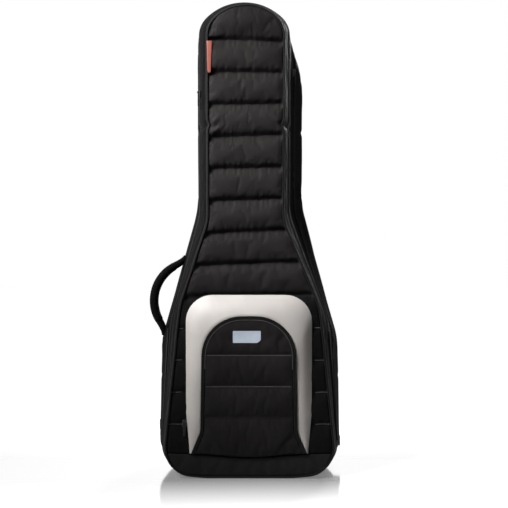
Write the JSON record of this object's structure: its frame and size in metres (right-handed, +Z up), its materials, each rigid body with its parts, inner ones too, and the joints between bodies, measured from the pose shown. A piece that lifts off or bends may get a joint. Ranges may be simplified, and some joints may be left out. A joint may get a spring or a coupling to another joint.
{
  "type": "gig bag",
  "caption": "Padded upright gig bag with front and rear chambers, quilted front, boxed pale pocket, grab handles and shoulder straps.",
  "frame": {"origin": "on the floor plane of the soles, under the middle of the bag's width and shell depth", "axes": "+Z up along the standing bag, -Y out of the quilted front, +X to the viewer's right seen from the front"},
  "size_m": [0.464, 0.2715, 1.0856],
  "materials": {
    "quilted_nylon": "satin",
    "gusset_nylon": "matte",
    "back_nylon": "matte",
    "coated_toe": "satin",
    "piping_cord": "satin",
    "zip_fabric": "matte",
    "sole_rubber": "matte",
    "pale_trim": "matte",
    "red_leather": "satin",
    "plate_metal": "satin",
    "slider_metal": "gloss",
    "pull_rubber": "matte",
    "strap_padding": "matte",
    "strap_webbing": "matte",
    "buckle_plastic": "matte",
    "chamber_lining": "matte",
    "hook_and_loop": "matte"
  },
  "bodies": {
    "rear_shell": {"back_panel": "back_nylon", "rear_gusset": "gusset_nylon", "rear_piping": "piping_cord", "rear_zip_tape": "zip_fabric", "rear_sole": "sole_rubber", "middle_hinge_binding": "piping_cord", "side_handle_posts": "gusset_nylon", "top_handle_posts": "gusset_nylon", "strap_yoke": "back_nylon", "shoulder_strap_left": "strap_padding", "shoulder_strap_right": "strap_padding", "ladder_lock_left": "buckle_plastic", "ladder_lock_right": "buckle_plastic", "strap_webbing_left": "strap_webbing", "strap_webbing_right": "strap_webbing", "anchor_wing_left": "strap_webbing", "anchor_wing_right": "strap_webbing", "rear_neck_cradle": "chamber_lining", "rear_end_cushion": "chamber_lining"},
    "middle_shell": {"divider": "chamber_lining", "middle_gusset": "gusset_nylon", "middle_piping": "piping_cord", "middle_front_tape": "zip_fabric", "middle_rear_tape": "zip_fabric", "middle_sole": "sole_rubber", "lid_hinge_binding": "piping_cord", "front_neck_cradle": "chamber_lining", "front_end_cushion": "chamber_lining"},
    "front_lid": {"front_panel": "quilted_nylon", "toe_band": "coated_toe", "front_piping": "piping_cord", "lid_gusset": "gusset_nylon", "lid_zip_tape": "zip_fabric", "lid_sole": "sole_rubber", "leather_tab": "red_leather", "pocket_zip_tape": "zip_fabric"},
    "pocket": {"pocket_trim": "pale_trim", "pocket_piping": "piping_cord", "pocket_face": "quilted_nylon", "label_plate": "plate_metal"},
    "front_slider": {"front_slider": "slider_metal"},
    "front_pull": {"front_pull": "pull_rubber"},
    "rear_slider": {"rear_slider": "slider_metal"},
    "rear_pull": {"rear_pull": "pull_rubber"},
    "pocket_slider": {"pocket_slider": "slider_metal"},
    "pocket_pull": {"pocket_pull": "pull_rubber"},
    "side_handle": {"side_handle": "gusset_nylon"},
    "top_handle": {"top_handle": "gusset_nylon"},
    "front_neck_strap": {"front_neck_strap": "hook_and_loop"},
    "rear_neck_strap": {"rear_neck_strap": "hook_and_loop"}
  },
  "joints": [
    {"name": "middle_hinge", "type": "hinge", "parent": "rear_shell", "child": "middle_shell", "pos_m": [-0.21126, 0.022, 0.01109], "axis": [-0.0595, 0, -0.9982], "range_deg": [0, 90]},
    {"name": "lid_hinge", "type": "hinge", "parent": "middle_shell", "child": "front_lid", "pos_m": [0.20619, -0.058, 0.01112], "axis": [-0.0775, 0, 0.997], "range_deg": [0, 110]},
    {"name": "pocket_fold", "type": "hinge", "parent": "front_lid", "child": "pocket", "pos_m": [0, -0.0973, 0.058], "axis": [1, 0, 0], "range_deg": [0, 75]},
    {"name": "front_zip_travel", "type": "slide", "parent": "middle_shell", "child": "front_slider", "axis": [-0.0046, 0, 1], "range_m": [-0.24, 0.11]},
    {"name": "front_pull_swing", "type": "hinge", "parent": "front_slider", "child": "front_pull", "pos_m": [-0.11767, -0.058, 0.87598], "axis": [0, 1, 0], "range_deg": [0, 150]},
    {"name": "rear_zip_travel", "type": "slide", "parent": "rear_shell", "child": "rear_slider", "axis": [0.0047, 0, 1], "range_m": [-0.29, 0.03]},
    {"name": "rear_pull_swing", "type": "hinge", "parent": "rear_slider", "child": "rear_pull", "pos_m": [0.10663, 0.022, 0.93998], "axis": [0, -1, 0], "range_deg": [0, 150]},
    {"name": "pocket_zip_travel", "type": "slide", "parent": "front_lid", "child": "pocket_slider", "axis": [0, 0, 1], "range_m": [0, 0.2]},
    {"name": "pocket_pull_swing", "type": "hinge", "parent": "pocket_slider", "child": "pocket_pull", "pos_m": [-0.1488, -0.1003, 0.13], "axis": [-1, 0, 0], "range_deg": [0, 150]},
    {"name": "side_handle_swing", "type": "hinge", "parent": "rear_shell", "child": "side_handle", "pos_m": [-0.2191, 0.058, 0.34986], "axis": [0.2702, 0, 0.9628], "range_deg": [-30, 30]},
    {"name": "top_handle_lift", "type": "hinge", "parent": "rear_shell", "child": "top_handle", "pos_m": [-0.055, 0.107, 1], "axis": [1, 0, 0], "range_deg": [0, 150]},
    {"name": "front_neck_strap_lift", "type": "hinge", "parent": "middle_shell", "child": "front_neck_strap", "pos_m": [-0.049, -0.0372, 0.69], "axis": [0, 0, -1], "range_deg": [0, 35]},
    {"name": "rear_neck_strap_lift", "type": "hinge", "parent": "rear_shell", "child": "rear_neck_strap", "pos_m": [-0.037, 0.0508, 0.69], "axis": [0, 0, -1], "range_deg": [0, 35]}
  ]
}
